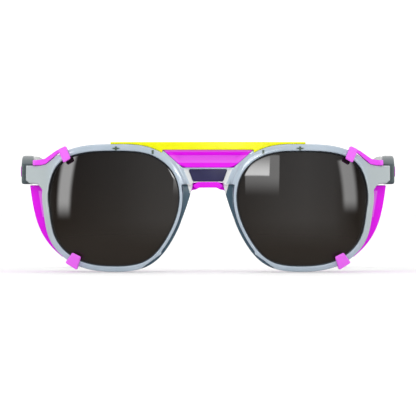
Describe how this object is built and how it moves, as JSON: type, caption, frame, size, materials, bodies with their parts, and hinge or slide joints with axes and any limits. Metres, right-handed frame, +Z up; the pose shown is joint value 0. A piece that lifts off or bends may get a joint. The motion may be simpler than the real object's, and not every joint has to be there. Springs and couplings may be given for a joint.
{
  "type": "glacier glasses",
  "caption": "Wrapped mountaineering glasses with dark spherical lenses in a translucent rim, clip-on side shields, a brow bar, a soft nose saddle and folding temples with rubber tips.",
  "frame": {"origin": "middle of the overall box, on the surface that the rims and temple tips stand on", "axes": "+Z up, the lenses face -Y, the open temples run along +Y, the wearer's left is +X"},
  "size_m": [0.146, 0.1404, 0.0502],
  "materials": {
    "frame_plastic": "clear pale blue-grey, polished",
    "temple_plastic": "polished grey-green",
    "brow_plastic": "bright yellow, smooth",
    "plate_plastic": "dark navy, polished",
    "shield_plastic": "flexible magenta, satin",
    "inlay_plastic": "magenta, satin",
    "soft_pad": "soft magenta elastomer, matt",
    "tip_rubber": "dark grey elastomer, matt",
    "steel": "stainless, fine brushed",
    "lens": "very dark brown-grey tint, polished"
  },
  "bodies": {
    "front": {"front_frame": "frame_plastic", "brow_bar": "brow_plastic", "brow_pad": "soft_pad", "bridge_plate": "plate_plastic", "nose_pad": "soft_pad", "lens_left": "lens", "lens_right": "lens", "hinge_leaf_front_left": "steel", "hinge_leaf_front_right": "steel", "hinge_rivets_front_left": "steel", "hinge_rivets_front_right": "steel", "hinge_screw_left": "steel", "hinge_screw_right": "steel", "side_shield_left": "shield_plastic", "side_shield_right": "shield_plastic"},
    "left_temple": {"temple_arm_left": "temple_plastic", "temple_tip_left": "tip_rubber", "temple_core_left": "steel", "temple_inlay_left": "inlay_plastic", "hinge_leaf_temple_left": "steel", "hinge_rivets_temple_left": "steel"},
    "right_temple": {"temple_arm_right": "temple_plastic", "temple_tip_right": "tip_rubber", "temple_core_right": "steel", "temple_inlay_right": "inlay_plastic", "hinge_leaf_temple_right": "steel", "hinge_rivets_temple_right": "steel"}
  },
  "joints": [
    {"name": "left_hinge", "type": "hinge", "parent": "front", "child": "left_temple", "pos_m": [-0.0656, -0.05281, 0.03772], "axis": [0, 0, -1], "range_deg": [0, 83]},
    {"name": "right_hinge", "type": "hinge", "parent": "front", "child": "right_temple", "pos_m": [0.0656, -0.05281, 0.03772], "axis": [0, 0, 1], "range_deg": [0, 76]}
  ]
}
